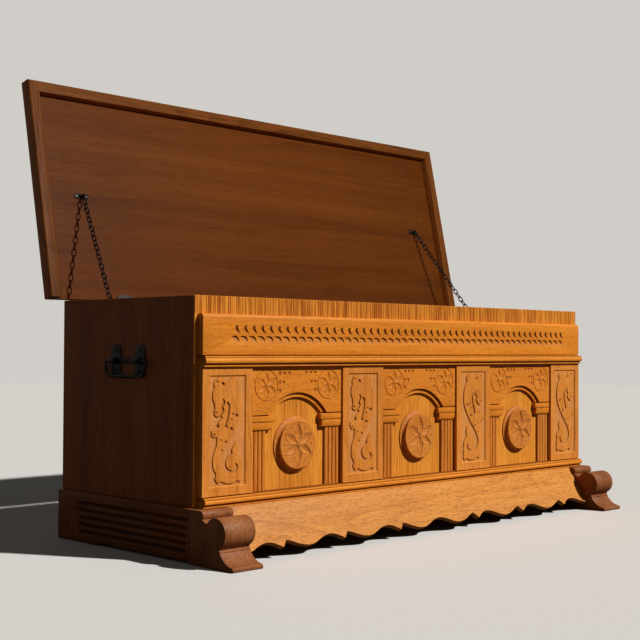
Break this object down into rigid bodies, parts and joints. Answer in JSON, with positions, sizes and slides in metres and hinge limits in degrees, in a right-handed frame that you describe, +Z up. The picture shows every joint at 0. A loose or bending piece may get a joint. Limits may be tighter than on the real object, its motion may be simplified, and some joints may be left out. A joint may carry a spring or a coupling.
{
  "type": "carved blanket chest",
  "caption": "Carved oak blanket chest on scroll feet, with arched bays, drop-bail side handles and a hinged lid held open by chains.",
  "frame": {"origin": "on the floor, under the middle of the whole box with the lid open", "axes": "+X to the right seen from the front, -Y towards the front, +Z up"},
  "size_m": [1.645, 0.8352, 1.2012],
  "materials": {
    "oak_front": "satin, warm golden brown",
    "oak_carved": "satin, carved",
    "oak_side": "satin, dark red brown",
    "oak_lid": "satin, orange brown",
    "oak_rail": "satin, red brown",
    "black_iron": "black, slightly rough",
    "bright_steel": "plain steel"
  },
  "bodies": {
    "chest": {"front_board": "oak_front", "front_apron": "oak_front", "frieze_board": "oak_front", "upper_moulding": "oak_front", "lower_moulding": "oak_front", "column_1": "oak_front", "column_2": "oak_front", "column_3": "oak_front", "column_4": "oak_front", "column_5": "oak_front", "column_6": "oak_front", "capital_1": "oak_front", "capital_2": "oak_front", "capital_3": "oak_front", "capital_4": "oak_front", "capital_5": "oak_front", "capital_6": "oak_front", "carved_pilaster_1": "oak_carved", "carved_pilaster_2": "oak_carved", "carved_pilaster_3": "oak_carved", "carved_pilaster_4": "oak_carved", "arch_panel_1": "oak_carved", "arch_panel_2": "oak_carved", "arch_panel_3": "oak_carved", "rosette_1": "oak_carved", "rosette_2": "oak_carved", "rosette_3": "oak_carved", "left_side_panel": "oak_side", "right_side_panel": "oak_side", "left_bottom_cleat": "oak_side", "right_bottom_cleat": "oak_side", "back_panel": "oak_side", "bottom_board": "oak_side", "left_runner": "oak_side", "right_runner": "oak_side", "left_foot": "oak_side", "right_foot": "oak_side", "back_plinth": "oak_side", "left_handle_plate": "black_iron", "right_handle_plate": "black_iron", "left_hinge_body_leaf": "bright_steel", "left_hinge_pin": "bright_steel", "left_chain_anchor": "bright_steel", "right_hinge_body_leaf": "bright_steel", "right_hinge_pin": "bright_steel", "right_chain_anchor": "bright_steel"},
    "lid": {"lid_panel": "oak_lid", "lid_front_rail": "oak_rail", "lid_left_rail": "oak_rail", "lid_right_rail": "oak_rail", "left_hinge_lid_leaf": "bright_steel", "right_hinge_lid_leaf": "bright_steel", "left_chain_staple": "black_iron", "right_chain_staple": "black_iron"},
    "left_bail": {"left_bail": "black_iron"},
    "left_upper_run": {"left_chain_upper": "black_iron"},
    "left_lower_run": {"left_chain_lower": "black_iron"},
    "right_bail": {"right_bail": "black_iron"},
    "right_upper_run": {"right_chain_upper": "black_iron"},
    "right_lower_run": {"right_chain_lower": "black_iron"}
  },
  "joints": [
    {"name": "lid_hinge", "type": "hinge", "parent": "chest", "child": "lid", "pos_m": [0, 0.27888, 0.612], "axis": [1, 0, 0], "range_deg": [0, 102.1]},
    {"name": "left_bail_swing", "type": "hinge", "parent": "chest", "child": "left_bail", "pos_m": [-0.785, -0.01112, 0.459], "axis": [0, 1, 0], "range_deg": [0, 90]},
    {"name": "left_upper_run_swing", "type": "hinge", "parent": "lid", "child": "left_upper_run", "pos_m": [-0.681, 0.33178, 0.89929], "axis": [1, 0, 0], "range_deg": [0, 13.6]},
    {"name": "left_lower_run_swing", "type": "hinge", "parent": "chest", "child": "left_lower_run", "pos_m": [-0.7493, 0.06555, 0.52674], "axis": [1, 0, 0], "range_deg": [-45.21, 0]},
    {"name": "right_bail_swing", "type": "hinge", "parent": "chest", "child": "right_bail", "pos_m": [0.785, -0.01112, 0.459], "axis": [0, -1, 0], "range_deg": [0, 90]},
    {"name": "right_upper_run_swing", "type": "hinge", "parent": "lid", "child": "right_upper_run", "pos_m": [0.681, 0.33178, 0.89929], "axis": [1, 0, 0], "range_deg": [0, 13.6]},
    {"name": "right_lower_run_swing", "type": "hinge", "parent": "chest", "child": "right_lower_run", "pos_m": [0.7493, 0.06555, 0.52674], "axis": [1, 0, 0], "range_deg": [-45.21, 0]}
  ],
  "couplings": [
    {"joint": "left_upper_run_swing", "follows": "lid_hinge", "ratio": 0.13269},
    {"joint": "left_lower_run_swing", "follows": "lid_hinge", "ratio": -0.44231},
    {"joint": "right_upper_run_swing", "follows": "lid_hinge", "ratio": 0.13269},
    {"joint": "right_lower_run_swing", "follows": "lid_hinge", "ratio": -0.44231}
  ]
}
